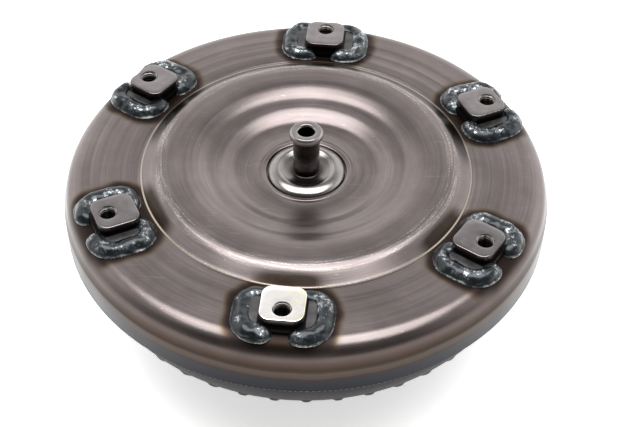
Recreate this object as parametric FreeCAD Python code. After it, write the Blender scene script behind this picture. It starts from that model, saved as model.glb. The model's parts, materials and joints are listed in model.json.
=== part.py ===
import FreeCAD, Part
import math
import os

# Torque converter, millimetres, +Z towards the engine.
# The origin is the centre of the free end of the drive hub, where the part stands.
# Heights are written as depths below the plane of the six mounting pads.

PAD_Z = 118.0  # pads above the free end of the drive hub

# ---- housing: front cover ------------------------------------------------------
RIM_R = 142.0
WALL_INNER_R = 137.5
WALL_TOP_DEPTH = 23.6
WALL_END_DEPTH = 40.0
COVER_T = 4.5
FACE_DEPTH = 9.0  # flat ring that carries the lugs
SHOULDER_CENTRE = (129.5, 20.0)
SHOULDER_R = 11.0
RIDGE = [(141.1, 22.0), (141.8, 22.5)]  # start of the ridge above the wall
COVER_BORE_R = 21.0
GROOVE_R = 23.5
GROOVE_DEPTH = 13.7
FLOOR_DEPTH = 13.0
# Pressed face from the edge of the floor out to the foot of the raised centre.
DISH = [(40.5, 13.0), (44.0, 12.0), (49.5, 8.7), (53.5, 7.7), (58.5, 6.9), (62.5, 5.1), (67.0, 3.5),
        (72.0, 3.05), (80.0, 3.0), (85.0, 3.5), (89.5, 5.1), (93.5, 7.8), (97.0, 9.0)]

# ---- housing: pilot -------------------------------------------------------------
PILOT_SHAFT_R = 7.7
PILOT_HEAD_R = 9.7
PILOT_TOP = -17.4
PILOT_CHAMFER = 1.1
PILOT_HEAD_T = 5.0
PILOT_TAPER = 1.5
PILOT_SHOULDER = 0.4
PILOT_SHAFT_END = 9.6
PILOT_FOOT = ((8.1, 11.2), (9.6, 12.0))  # middle and end of each arc of the bowl
PILOT_BOWL = ((14.5, 11.8), (19.0, 10.4))
PILOT_LIP = (21.4, 10.9)
PILOT_FLANGE_R = 22.8
PILOT_HOLE_R = 4.6
PILOT_HOLE_MOUTH_R = 5.2
PILOT_HOLE_LENGTH = 15.0

# ---- housing: mounting lugs ------------------------------------------------------
LUG_COUNT = 6
LUG_FIRST_ANGLE = 30.0
BOLT_CIRCLE_R = 120.0
PAD_SIZE = 24.0
PAD_CORNER_R = 6.0
PAD_CENTRE_R = 116.0
LUG_STEP_DEPTH = 5.6
LUG_BASE_LENGTH = 27.0  # radial
LUG_BASE_WIDTH = 36.0
LUG_BASE_CORNER_R = 5.0
THREAD_CORE_R = 4.25
THREAD_MOUTH_R = 5.4
BEAD_R = 4.7
BEAD_CENTRE_DEPTH = 8.3
BEAD_INNER_R = 103.2
BEAD_OUTER_R = 131.6
BEAD_SIDE = 22.2
BEAD_CORNER_R = 6.5
BEAD_END = 9.6

# ---- torus -----------------------------------------------------------------------
IMPELLER_CENTRE = (91.5, 47.0)
IMPELLER_HALF = (42.0, 38.0)  # outer surface, radial and axial
IMPELLER_T = 3.0
IMPELLER_FLANGE_DEPTH = 67.0
LIP_TOP_DEPTH = 34.0
JOGGLE_DEPTH = 40.5
SEAM_WELD = (3.7, 3.0)  # width on the wall, height down the shell
SEAM_BULGE = (2.6, 2.3)
TURBINE_CENTRE = (91.5, 52.0)
TURBINE_HALF = (37.0, 27.5)
TURBINE_T = 2.0
TURBINE_FLANGE_DEPTH = 33.0
CORE_CENTRE_R = 96.5
CORE_HALF_R = 18.5
CORE_T = 1.2
IMPELLER_CORE = (54.0, 14.5)  # edge depth, axial half
TURBINE_CORE = (52.0, 12.0)
BLADE_EDGE_GAP = 0.8
BLADE_T = 1.0
BLADE_ROOT_R = 55.0
IMPELLER_BLADE_INNER_R = 61.0
IMPELLER_BLADES = 45
TURBINE_BLADES = 43
IMPELLER_BLADE_BEND = 5.0
TURBINE_BLADE_BEND = 12.0
STATOR_ZONE_R = 77.6
STATOR_ZONE = (41.2, 65.2)

# ---- hubs ------------------------------------------------------------------------
HUB_SLEEVE_R = 25.0
HUB_BORE_R = 21.5
HUB_FLANGE_R = 46.0
HUB_FLANGE_T = 5.0
HUB_SLOT = (10.0, 9.0)  # width, length
HUB_FILLET = 3.0
HUB_CHAMFER = 1.0
HUB_WELD_WIDTH = 4.0
HUB_WELD_BULGE = (2.4, 1.5)
TURBINE_HUB_FLANGE_R = 52.0
TURBINE_HUB_FLANGE_TOP = 29.0
TURBINE_RACE_SEAT = 35.0
NOSE_R = 27.0
NOSE_DEPTH = 19.4
NOSE_BORE_R = 17.0
TURBINE_BOSS_R = 40.0
TURBINE_HUB_END = 39.0
SPLINE_START = 24.0
SPLINE_ROOT_R = 14.2
SPLINE_TIP_R = 13.1
SPLINE_TEETH = 26
RIVET_CIRCLE_R = 46.0
RIVET_COUNT = 8
RIVET_R = 3.0
RIVET_HEAD_R = 4.8
RIVET_HEAD_T = 1.6
WASHER_R = (18.5, 26.5)
WASHER_TOP = 17.6
SEAL_GROOVE = (22.4, 24.4)
SEAL_INNER_R = 25.0
SEAL_OUTER_R = 27.05
SEAL_GAP = 1.0
SEAL_PLAY = 0.05

# ---- lock-up piston and damper -----------------------------------------------------
PISTON_BORE_R = 27.1
PISTON_OUTER_R = 131.5
PISTON_T = 2.8
PISTON_FACE = [(27.1, 19.9), (48.0, 19.9), (62.0, 13.4), (84.0, 13.4), (92.0, 15.6), (131.5, 15.6)]
PISTON_LIP = (30.0, 27.5)
PISTON_TAB = (129.8, 31.0)
LINING = (104.0, 128.0, 14.75)
DAMPER_COUNT = 12
RETAINER_TOP = 18.9
RETAINER_T = 1.8
RETAINER_INNER_R = 106.0
RETAINER_WRAP_R = 129.4
RETAINER_END = 30.0
RETAINER_FLANGE_R = 134.0
STOP_INNER_R = 118.0
STOP_END = 25.4
STOP_WIDTH = 10.5
STOP_BITE = 0.1  # how far a stop is sunk into the wrapped edge
TAB_WIDTH = 20.0
NOTCH_WIDTH = 21.4
NOTCH_DEPTH = 3.0
BACK_PLATE_T = 1.6
BACK_PLATE_R = 114.1
BACK_PLATE_LIP = 27.0
DAMPER_RIVET_CIRCLE_R = 109.3
DAMPER_RIVET_R = 1.5
DAMPER_RIVET_HEAD = (2.5, 1.3)
SPRING_AXIS_R = 120.0
SPRING_DEPTH = 25.8
SPRING_MEAN_R = 3.8
SPRING_WIRE_R = 0.7
SPRING_LENGTH = 46.0
SPRING_PITCH = 4.0
DRIVE_RING = (117.0, 126.5, 32.6, 35.2)
DRIVE_TAB = (119.5, 26.6)
DRIVE_TAB_INSET = 0.4

# ---- stator and one-way clutch ------------------------------------------------------
RACE_TOP = 45.0
RACE_END = 61.0
OUTER_RACE_R = (31.2, 39.0)
ROLLER_COUNT = 10
ROLLER_R = 3.1
ROLLER_CIRCLE_R = 30.2
ROLLER_PLAY = 0.4
POCKET_R = 3.4
SPRING_POCKET_R = 3.0
SPRING_POCKET_ANGLE = 9.0
CLUTCH_PLATE_R = (21.3, 38.9)
CLUTCH_PLATE_T = 2.0
CLUTCH_SPRING_R = (28.4, 31.6)
CLUTCH_SPRING_STRIP = 0.3
CLUTCH_SPRING_FOLD = 0.8
CLUTCH_SPRING_FOLDS = 4
CLUTCH_SPRING_START = 3.6
CLUTCH_SPRING_INSET = 4.0
INNER_RACE_R = 27.0
INNER_RACE_PLAY = 0.1
STATOR_SPLINE_ROOT_R = 20.5
STATOR_SPLINE_TIP_R = 19.4
STATOR_SPLINE_TEETH = 40
STATOR_HUB_R = 54.0
STATOR_HUB = (41.2, 63.0)
STATOR_RING = (74.4, 76.4, 44.0, 62.0)
STATOR_BLADES = 19
STATOR_BLADE_TOP = (42.5, -4.0)
STATOR_BLADE_END = (63.5, 5.0)
STATOR_BLADE_CAMBER = (2.6, 5.4)
STATOR_VANE_BITE = (1.0, 0.6)  # how far a vane is sunk into the hub and the ring
SNAP_RING = (37.8, 40.2, 42.0, 43.0)
SNAP_RING_GAP = 6.0

# ---- needle thrust bearings -----------------------------------------------------------
THRUST_RACE_R = (27.5, 37.0)
THRUST_RACE_T = 1.0
NEEDLE_COUNT = 24
NEEDLE_R = 0.98
NEEDLE_LENGTH = 6.5
NEEDLE_MID_R = 32.2
CAGE_R = (28.0, 36.5)
CAGE_T = 0.8
CAGE_SLOT_PLAY = 0.1
FRONT_BEARING = (40.0, 42.0)
REAR_BEARING = (64.0, 66.0)

ORIGIN = FreeCAD.Vector(0, 0, 0)
X_AXIS = FreeCAD.Vector(1, 0, 0)
Z_AXIS = FreeCAD.Vector(0, 0, 1)
TURN = 360.0


# ---- helpers ----------------------------------------------------------------------------
def at(radius, depth):
    """Point of a section, drawn flat before it is stood up: radius along X, height along Y."""
    return FreeCAD.Vector(radius, PAD_Z - depth, 0)


class Outline:
    """Closed section in a half plane through the axis, given as radius and depth."""

    def __init__(self, radius, depth):
        self.start = at(radius, depth)
        self.pen = self.start
        self.edges = []

    def line(self, *points):
        for radius, depth in points:
            target = at(radius, depth)
            self.edges.append(Part.makeLine(self.pen, target))
            self.pen = target
        return self

    def arc(self, middle, end):
        target = at(*end)
        self.edges.append(Part.Arc(self.pen, at(*middle), target).toShape())
        self.pen = target
        return self

    def curve(self, points):
        spline = Part.BSplineCurve()
        spline.interpolate([self.pen] + [at(*point) for point in points])
        self.edges.append(spline.toShape())
        self.pen = at(*points[-1])
        return self

    def ellipse(self, centre, half, from_angle, to_angle):
        """Elliptic arc; angle 0 is outwards and 90 is towards the cover."""
        low, high = sorted((math.radians(from_angle), math.radians(to_angle)))
        whole = Part.Ellipse(at(*centre), half[0], half[1])
        self.edges.append(Part.ArcOfEllipse(whole, low, high).toShape())
        self.pen = at(*on_ellipse(centre, half, to_angle))
        return self

    def solid(self):
        if self.pen.distanceToPoint(self.start) > 1e-6:
            self.edges.append(Part.makeLine(self.pen, self.start))
        return spin(Part.Face(Part.Wire(self.edges)))


def spin(face):
    """Stand a flat section up and turn it round the axis."""
    face.rotate(ORIGIN, X_AXIS, 90)
    return face.revolve(ORIGIN, Z_AXIS, TURN)


def on_ellipse(centre, half, angle):
    turn = math.radians(angle)
    return (centre[0] + half[0] * math.cos(turn), centre[1] - half[1] * math.sin(turn))


def ellipse_angle(centre, half, depth):
    """Angle on the inner side of an ellipse at a depth."""
    return 180.0 - math.degrees(math.asin((centre[1] - depth) / half[1]))


def ellipse_solid(centre, half):
    return spin(Part.Face(Part.Wire(Part.Ellipse(at(*centre), half[0], half[1]).toShape())))


def disc(radius, top, end):
    """Plain cylinder on the axis between two depths."""
    return Part.makeCylinder(radius, end - top, FreeCAD.Vector(0, 0, PAD_Z - end))


def ring(inner, outer, top, end):
    return disc(outer, top, end).cut(disc(inner, top, end))


def turned(shape, angle):
    copy = shape.copy()
    copy.rotate(ORIGIN, Z_AXIS, angle)
    return copy


def around(shape, count, first=0.0):
    return [turned(shape, first + TURN * i / count) for i in range(count)]


def block(inner, outer, width, top, end):
    """Box that reaches from one radius to another along X, between two depths."""
    corner = FreeCAD.Vector(inner, -width / 2, PAD_Z - end)
    return Part.makeBox(outer - inner, width, end - top, corner)


def rounded_block(centre_r, length, width, corner_r, top, end):
    box = block(centre_r - length / 2, centre_r + length / 2, width, top, end)
    upright = [e for e in box.Edges if abs(e.tangentAt(e.FirstParameter).z) > 0.99]
    return box.makeFillet(corner_r, upright)


def post(radius, x, y, top, end):
    """Upright cylinder away from the axis."""
    return Part.makeCylinder(radius, end - top, FreeCAD.Vector(x, y, PAD_Z - end))


def prism(points, top, end):
    """Upright prism on a closed polygon of (x, y)."""
    corners = [FreeCAD.Vector(x, y, PAD_Z - end) for x, y in points]
    face = Part.Face(Part.makePolygon(corners + corners[:1]))
    return face.extrude(FreeCAD.Vector(0, 0, end - top))


def spline_bore(tip_r, root_r, teeth, top, end):
    """Toothed core that cuts an internal spline."""
    pitch = 2 * math.pi / teeth
    points = []
    for i in range(teeth):
        for share, radius in ((0.0, tip_r), (0.35, tip_r), (0.5, root_r), (0.85, root_r)):
            angle = (i + share) * pitch
            points.append((radius * math.cos(angle), radius * math.sin(angle)))
    return prism(points, top, end)


def save(name, *shapes):
    shape = shapes[0] if len(shapes) == 1 else Part.makeCompound(list(shapes))
    shape.exportStep("parts/" + name + ".step")
    print(name, "solids", len(shape.Solids), "volume", round(shape.Volume), "valid", shape.isValid())


# ---- housing ----------------------------------------------------------------------------
def front_cover():
    inner_r = SHOULDER_R - COVER_T
    centre_r, centre_depth = SHOULDER_CENTRE
    slant = math.sqrt(0.5)
    outline = Outline(COVER_BORE_R, GROOVE_DEPTH)
    outline.line((GROOVE_R, GROOVE_DEPTH), (GROOVE_R, FLOOR_DEPTH), DISH[0])
    outline.curve(DISH[1:])
    outline.line((centre_r, FACE_DEPTH))
    outline.arc((centre_r + SHOULDER_R * slant, centre_depth - SHOULDER_R * slant),
                (centre_r + SHOULDER_R, centre_depth))
    outline.line(*RIDGE, (RIM_R, WALL_TOP_DEPTH), (RIM_R, WALL_END_DEPTH), (WALL_INNER_R, WALL_END_DEPTH),
                 (WALL_INNER_R, WALL_TOP_DEPTH), (centre_r + inner_r, centre_depth))
    outline.arc((centre_r + inner_r * slant, centre_depth - inner_r * slant),
                (centre_r, FACE_DEPTH + COVER_T))
    inside = [(radius, depth + COVER_T) for radius, depth in reversed(DISH)]
    outline.line(inside[0])
    outline.curve(inside[1:])
    outline.line((COVER_BORE_R, FLOOR_DEPTH + COVER_T))
    return outline.solid()


def pilot_hub():
    outline = Outline(0, PILOT_TOP + PILOT_HOLE_LENGTH + PILOT_HOLE_R)
    outline.line((PILOT_HOLE_R, PILOT_TOP + PILOT_HOLE_LENGTH), (PILOT_HOLE_R, PILOT_TOP + PILOT_CHAMFER),
                 (PILOT_HOLE_MOUTH_R, PILOT_TOP), (PILOT_HEAD_R - PILOT_CHAMFER, PILOT_TOP),
                 (PILOT_HEAD_R, PILOT_TOP + PILOT_CHAMFER),
                 (PILOT_HEAD_R, PILOT_TOP + PILOT_HEAD_T - PILOT_TAPER),
                 (PILOT_SHAFT_R + PILOT_SHOULDER, PILOT_TOP + PILOT_HEAD_T),
                 (PILOT_SHAFT_R, PILOT_TOP + PILOT_HEAD_T), (PILOT_SHAFT_R, PILOT_SHAFT_END))
    outline.arc(*PILOT_FOOT)
    outline.arc(*PILOT_BOWL)
    outline.arc(PILOT_LIP, (PILOT_FLANGE_R, FLOOR_DEPTH))
    outline.line((PILOT_FLANGE_R, GROOVE_DEPTH), (COVER_BORE_R, GROOVE_DEPTH),
                 (COVER_BORE_R, FLOOR_DEPTH + COVER_T), (0, FLOOR_DEPTH + COVER_T))
    return outline.solid()


def mounting_lug():
    pad = rounded_block(PAD_CENTRE_R, PAD_SIZE, PAD_SIZE, PAD_CORNER_R, 0, FACE_DEPTH)
    base = rounded_block(PAD_CENTRE_R, LUG_BASE_LENGTH, LUG_BASE_WIDTH, LUG_BASE_CORNER_R,
                         LUG_STEP_DEPTH, FACE_DEPTH)
    lug = pad.fuse(base).removeSplitter()
    mouth_t = THREAD_MOUTH_R - THREAD_CORE_R
    mouth = Part.makeCone(THREAD_CORE_R, THREAD_MOUTH_R, mouth_t,
                          FreeCAD.Vector(BOLT_CIRCLE_R, 0, PAD_Z - mouth_t))
    return lug.cut(post(THREAD_CORE_R, BOLT_CIRCLE_R, 0, 0, FACE_DEPTH)).cut(mouth)


def bead_path():
    """Centre line of the weld round one end of a lug: out, round two corners, and back in."""
    z = PAD_Z - BEAD_CENTRE_DEPTH
    bow = BEAD_CORNER_R * (1 - math.sqrt(0.5))
    side = BEAD_SIDE - BEAD_CORNER_R

    def point(x, y):
        return FreeCAD.Vector(x, y, z)

    outer = [point(BEAD_OUTER_R, BEAD_END), point(BEAD_OUTER_R, side),
             point(BEAD_OUTER_R - bow, BEAD_SIDE - bow), point(BEAD_OUTER_R - BEAD_CORNER_R, BEAD_SIDE)]
    inner = [point(BEAD_INNER_R + BEAD_CORNER_R, BEAD_SIDE), point(BEAD_INNER_R + bow, BEAD_SIDE - bow),
             point(BEAD_INNER_R, side), point(BEAD_INNER_R, BEAD_END)]
    edges = [Part.makeLine(outer[0], outer[1]), Part.Arc(*outer[1:4]).toShape(),
             Part.makeLine(outer[3], inner[0]), Part.Arc(*inner[0:3]).toShape(),
             Part.makeLine(inner[2], inner[3])]
    return Part.Wire(edges), outer[0], inner[3]


def weld_bead(cover, lug):
    path, first, last = bead_path()
    section = Part.Wire(Part.makeCircle(BEAD_R, first, FreeCAD.Vector(0, 1, 0)))
    bead = path.makePipeShell([section], True, False)
    bead = bead.fuse([Part.makeSphere(BEAD_R, end) for end in (first, last)])
    bead = bead.cut([cover, lug])
    return max(bead.Solids, key=lambda solid: solid.Volume)


def rim_seam_weld():
    outline = Outline(WALL_INNER_R, WALL_END_DEPTH)
    width, height = SEAM_WELD
    outline.line((WALL_INNER_R + width, WALL_END_DEPTH))
    outline.arc((WALL_INNER_R + SEAM_BULGE[0], WALL_END_DEPTH + SEAM_BULGE[1]),
                joggle(WALL_END_DEPTH + height))
    outline.line((WALL_INNER_R, JOGGLE_DEPTH))
    return outline.solid()


def joggle(depth):
    """Point on the outer face of the step where the impeller shell enters the wall."""
    foot_r, foot_depth = IMPELLER_CENTRE[0] + IMPELLER_HALF[0], IMPELLER_CENTRE[1]
    share = (depth - JOGGLE_DEPTH) / (foot_depth - JOGGLE_DEPTH)
    return (WALL_INNER_R + share * (foot_r - WALL_INNER_R), depth)


def impeller_inner_half():
    return (IMPELLER_HALF[0] - IMPELLER_T, IMPELLER_HALF[1] - IMPELLER_T)


def impeller_shell():
    half_in = impeller_inner_half()
    centre_r, centre_depth = IMPELLER_CENTRE
    flange_end = IMPELLER_FLANGE_DEPTH + IMPELLER_T
    outer_angle = ellipse_angle(IMPELLER_CENTRE, IMPELLER_HALF, flange_end) - TURN
    inner_angle = ellipse_angle(IMPELLER_CENTRE, half_in, IMPELLER_FLANGE_DEPTH) - TURN
    outline = Outline(WALL_INNER_R - IMPELLER_T, LIP_TOP_DEPTH)
    outline.line((WALL_INNER_R, LIP_TOP_DEPTH), (WALL_INNER_R, JOGGLE_DEPTH),
                 (centre_r + IMPELLER_HALF[0], centre_depth))
    outline.ellipse(IMPELLER_CENTRE, IMPELLER_HALF, 0, outer_angle)
    outline.line((HUB_FLANGE_R, flange_end), (HUB_FLANGE_R, IMPELLER_FLANGE_DEPTH),
                 on_ellipse(IMPELLER_CENTRE, half_in, inner_angle))
    outline.ellipse(IMPELLER_CENTRE, half_in, inner_angle, 0)
    outline.line((WALL_INNER_R - IMPELLER_T, JOGGLE_DEPTH + 1.0))
    return outline.solid()


def blade_plate(inner, outer, bend):
    """Tall curved plate that runs out from the axis; bend is its sweep in degrees."""
    def point(radius, angle, shift):
        turn = math.radians(angle)
        return FreeCAD.Vector(radius * math.cos(turn), radius * math.sin(turn) + shift, 0)

    middle = (inner + outer) / 2
    sides = []
    for shift in (-BLADE_T / 2, BLADE_T / 2):
        sides.append([point(inner, 0, shift), point(middle, bend * 0.3, shift), point(outer, bend, shift)])
    low, high = sides
    wire = Part.Wire([Part.Arc(*low).toShape(), Part.makeLine(low[2], high[2]),
                      Part.Arc(*high).toShape(), Part.makeLine(high[0], low[0])])
    return Part.Face(wire).extrude(FreeCAD.Vector(0, 0, PAD_Z))


def core_solid(core):
    return ellipse_solid((CORE_CENTRE_R, core[0]), (CORE_HALF_R, core[1]))


def impeller_blades():
    passage = ellipse_solid(IMPELLER_CENTRE, impeller_inner_half())
    passage = passage.common(
        ring(IMPELLER_BLADE_INNER_R, RIM_R, IMPELLER_CORE[0] + BLADE_EDGE_GAP, PAD_Z))
    passage = passage.cut([core_solid(IMPELLER_CORE), disc(STATOR_ZONE_R, 0, STATOR_ZONE[1])])
    blade = blade_plate(BLADE_ROOT_R, RIM_R, IMPELLER_BLADE_BEND).common(passage)
    return around(blade, IMPELLER_BLADES)


def core_ring(core, low, high):
    """Half of the hollow ring in the middle of the flow, between two angles of its section."""
    centre = (CORE_CENTRE_R, core[0])
    outer = (CORE_HALF_R, core[1])
    inner = (CORE_HALF_R - CORE_T, core[1] - CORE_T)
    outline = Outline(*on_ellipse(centre, outer, low))
    outline.ellipse(centre, outer, low, high)
    outline.line(on_ellipse(centre, inner, high))
    outline.ellipse(centre, inner, high, low)
    return outline.solid()


def impeller_hub():
    flange_end = IMPELLER_FLANGE_DEPTH + HUB_FLANGE_T
    outline = Outline(HUB_BORE_R, IMPELLER_FLANGE_DEPTH)
    outline.line((HUB_FLANGE_R, IMPELLER_FLANGE_DEPTH), (HUB_FLANGE_R, flange_end),
                 (HUB_SLEEVE_R + HUB_FILLET, flange_end))
    bow = HUB_FILLET * (1 - math.sqrt(0.5))
    outline.arc((HUB_SLEEVE_R + bow, flange_end + bow), (HUB_SLEEVE_R, flange_end + HUB_FILLET))
    outline.line((HUB_SLEEVE_R, PAD_Z - HUB_CHAMFER), (HUB_SLEEVE_R - HUB_CHAMFER, PAD_Z),
                 (HUB_BORE_R, PAD_Z))
    width, length = HUB_SLOT
    slot = block(-RIM_R, RIM_R, width, PAD_Z - length, PAD_Z)
    return outline.solid().cut(slot)


def impeller_hub_weld():
    shell_face = IMPELLER_FLANGE_DEPTH + IMPELLER_T
    flange_end = IMPELLER_FLANGE_DEPTH + HUB_FLANGE_T
    outline = Outline(HUB_FLANGE_R, shell_face)
    bulge_r, bulge_depth = HUB_WELD_BULGE
    outline.line((HUB_FLANGE_R + HUB_WELD_WIDTH, shell_face))
    outline.arc((HUB_FLANGE_R + bulge_r, shell_face + bulge_depth), (HUB_FLANGE_R, flange_end))
    return outline.solid()


# ---- turbine ----------------------------------------------------------------------------
def turbine_hub():
    outline = Outline(NOSE_BORE_R, NOSE_DEPTH)
    outline.line((NOSE_R, NOSE_DEPTH), (NOSE_R, SEAL_GROOVE[0]), (SEAL_INNER_R, SEAL_GROOVE[0]),
                 (SEAL_INNER_R, SEAL_GROOVE[1]), (NOSE_R, SEAL_GROOVE[1]), (NOSE_R, TURBINE_HUB_FLANGE_TOP),
                 (TURBINE_HUB_FLANGE_R, TURBINE_HUB_FLANGE_TOP), (TURBINE_HUB_FLANGE_R, TURBINE_FLANGE_DEPTH),
                 (TURBINE_BOSS_R, TURBINE_FLANGE_DEPTH), (TURBINE_BOSS_R, TURBINE_HUB_END),
                 (NOSE_R, TURBINE_HUB_END), (NOSE_R, TURBINE_RACE_SEAT), (NOSE_BORE_R, TURBINE_RACE_SEAT),
                 (NOSE_BORE_R, TURBINE_HUB_END), (SPLINE_TIP_R, TURBINE_HUB_END),
                 (SPLINE_TIP_R, SPLINE_START), (NOSE_BORE_R, SPLINE_START))
    hub = outline.solid()
    core = spline_bore(SPLINE_TIP_R, SPLINE_ROOT_R, SPLINE_TEETH, SPLINE_START, TURBINE_HUB_END)
    hub = hub.cut(core)
    return hub.cut([post(RIVET_R, *spot, 0, PAD_Z) for spot in rivet_spots()])


def rivet_spots():
    spots = []
    for i in range(RIVET_COUNT):
        angle = 2 * math.pi * i / RIVET_COUNT
        spots.append((RIVET_CIRCLE_R * math.cos(angle), RIVET_CIRCLE_R * math.sin(angle)))
    return spots


def turbine_inner_half():
    return (TURBINE_HALF[0] - TURBINE_T, TURBINE_HALF[1] - TURBINE_T)


def turbine_shell():
    half_in = turbine_inner_half()
    flange_end = TURBINE_FLANGE_DEPTH + TURBINE_T
    outer_angle = ellipse_angle(TURBINE_CENTRE, TURBINE_HALF, TURBINE_FLANGE_DEPTH)
    inner_angle = ellipse_angle(TURBINE_CENTRE, half_in, flange_end)
    outline = Outline(*on_ellipse(TURBINE_CENTRE, TURBINE_HALF, 0))
    outline.ellipse(TURBINE_CENTRE, TURBINE_HALF, 0, outer_angle)
    outline.line((TURBINE_BOSS_R, TURBINE_FLANGE_DEPTH), (TURBINE_BOSS_R, flange_end),
                 on_ellipse(TURBINE_CENTRE, half_in, inner_angle))
    outline.ellipse(TURBINE_CENTRE, half_in, inner_angle, 0)
    return outline.solid().cut([post(RIVET_R, *spot, 0, PAD_Z) for spot in rivet_spots()])


def turbine_blades():
    passage = ellipse_solid(TURBINE_CENTRE, turbine_inner_half())
    passage = passage.common(disc(RIM_R, 0, TURBINE_CORE[0] - BLADE_EDGE_GAP))
    passage = passage.cut([core_solid(TURBINE_CORE), disc(STATOR_ZONE_R, STATOR_ZONE[0], PAD_Z)])
    blade = blade_plate(BLADE_ROOT_R, RIM_R, TURBINE_BLADE_BEND).common(passage)
    return around(blade, TURBINE_BLADES)


def turbine_rivets():
    top = TURBINE_HUB_FLANGE_TOP
    end = TURBINE_FLANGE_DEPTH + TURBINE_T
    rivets = []
    for spot in rivet_spots():
        shank = post(RIVET_R, *spot, top, end)
        heads = [post(RIVET_HEAD_R, *spot, top - RIVET_HEAD_T, top),
                 post(RIVET_HEAD_R, *spot, end, end + RIVET_HEAD_T)]
        rivets.append(shank.fuse(heads).removeSplitter())
    return rivets


def piston_seal_ring():
    seal = ring(SEAL_INNER_R, SEAL_OUTER_R, SEAL_GROOVE[0] + SEAL_PLAY, SEAL_GROOVE[1] - SEAL_PLAY)
    return seal.cut(block(0, RIM_R, SEAL_GAP, 0, PAD_Z))


def turbine_drive_ring():
    inner, outer, top, end = DRIVE_RING
    plate = ring(inner, outer, top, end)
    tab_inner, tab_top = DRIVE_TAB
    tab = block(tab_inner, outer - DRIVE_TAB_INSET, STOP_WIDTH, tab_top, top)
    step = TURN / DAMPER_COUNT
    plate = plate.fuse(around(tab, DAMPER_COUNT, step / 2))
    plate = plate.cut(ellipse_solid(TURBINE_CENTRE, TURBINE_HALF))
    return max(plate.Solids, key=lambda solid: solid.Volume)


# ---- damper -----------------------------------------------------------------------------
def damper_retainer():
    under = RETAINER_TOP + RETAINER_T
    wrap_inner = RETAINER_WRAP_R - RETAINER_T
    outline = Outline(RETAINER_INNER_R, RETAINER_TOP)
    outline.line((RETAINER_WRAP_R, RETAINER_TOP), (RETAINER_WRAP_R, RETAINER_END - RETAINER_T),
                 (RETAINER_FLANGE_R, RETAINER_END - RETAINER_T), (RETAINER_FLANGE_R, RETAINER_END),
                 (wrap_inner, RETAINER_END), (wrap_inner, under), (RETAINER_INNER_R, under))
    step = TURN / DAMPER_COUNT
    stop = block(STOP_INNER_R, wrap_inner + STOP_BITE, STOP_WIDTH, under, STOP_END)
    plate = outline.solid().fuse(around(stop, DAMPER_COUNT, step / 2))
    notch = block(RETAINER_WRAP_R, RIM_R, NOTCH_WIDTH, RETAINER_END - NOTCH_DEPTH, RETAINER_END)
    plate = plate.cut(around(notch, DAMPER_COUNT, step / 2))
    return plate.cut([post(DAMPER_RIVET_R, *spot, 0, PAD_Z) for spot in damper_rivet_spots()])


def damper_rivet_spots():
    spots = []
    for i in range(DAMPER_COUNT):
        angle = 2 * math.pi * i / DAMPER_COUNT
        spots.append((DAMPER_RIVET_CIRCLE_R * math.cos(angle), DAMPER_RIVET_CIRCLE_R * math.sin(angle)))
    return spots


def damper_back_plate():
    top = RETAINER_TOP + RETAINER_T
    outline = Outline(RETAINER_INNER_R, top)
    outline.line((BACK_PLATE_R, top), (BACK_PLATE_R, BACK_PLATE_LIP),
                 (BACK_PLATE_R - BACK_PLATE_T, BACK_PLATE_LIP),
                 (BACK_PLATE_R - BACK_PLATE_T, top + BACK_PLATE_T),
                 (RETAINER_INNER_R, top + BACK_PLATE_T))
    holes = [post(DAMPER_RIVET_R, *spot, 0, PAD_Z) for spot in damper_rivet_spots()]
    return outline.solid().cut(holes)


def damper_rivets():
    head_r, head_t = DAMPER_RIVET_HEAD
    end = RETAINER_TOP + RETAINER_T + BACK_PLATE_T
    rivets = []
    for spot in damper_rivet_spots():
        shank = post(DAMPER_RIVET_R, *spot, RETAINER_TOP, end)
        rivets.append(shank.fuse(post(head_r, *spot, end, end + head_t)).removeSplitter())
    return rivets


def damper_springs():
    """Straight coil springs that lie side by side round the damper."""
    helix = Part.makeHelix(SPRING_PITCH, SPRING_LENGTH - 2 * SPRING_WIRE_R, SPRING_MEAN_R)
    start = FreeCAD.Vector(SPRING_MEAN_R, 0, 0)
    rise = FreeCAD.Vector(0, 2 * math.pi * SPRING_MEAN_R, SPRING_PITCH)
    section = Part.Wire(Part.makeCircle(SPRING_WIRE_R, start, rise))
    coil = Part.Wire(helix).makePipeShell([section], True, True)
    coil.translate(FreeCAD.Vector(0, 0, SPRING_WIRE_R - SPRING_LENGTH / 2))
    coil.rotate(ORIGIN, X_AXIS, 90)
    coil.translate(FreeCAD.Vector(SPRING_AXIS_R, 0, PAD_Z - SPRING_DEPTH))
    return around(coil, DAMPER_COUNT)


# ---- piston -----------------------------------------------------------------------------
def lockup_piston():
    lip_r, lip_end = PISTON_LIP
    tab_r, tab_end = PISTON_TAB
    outline = Outline(*PISTON_FACE[0])
    outline.line(*PISTON_FACE[1:])
    back = [(radius, depth + PISTON_T) for radius, depth in reversed(PISTON_FACE)]
    outline.line(*back[:-1])
    outline.line((lip_r, back[-1][1]), (lip_r, lip_end), (PISTON_BORE_R, lip_end))
    tab_ring = ring(tab_r, PISTON_OUTER_R, back[0][1], tab_end)
    window = block(0, RIM_R, TAB_WIDTH, back[0][1], tab_end)
    step = TURN / DAMPER_COUNT
    tabs = [tab_ring.common(turned(window, step * (i + 0.5))) for i in range(DAMPER_COUNT)]
    return outline.solid().fuse(tabs).removeSplitter()


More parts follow.
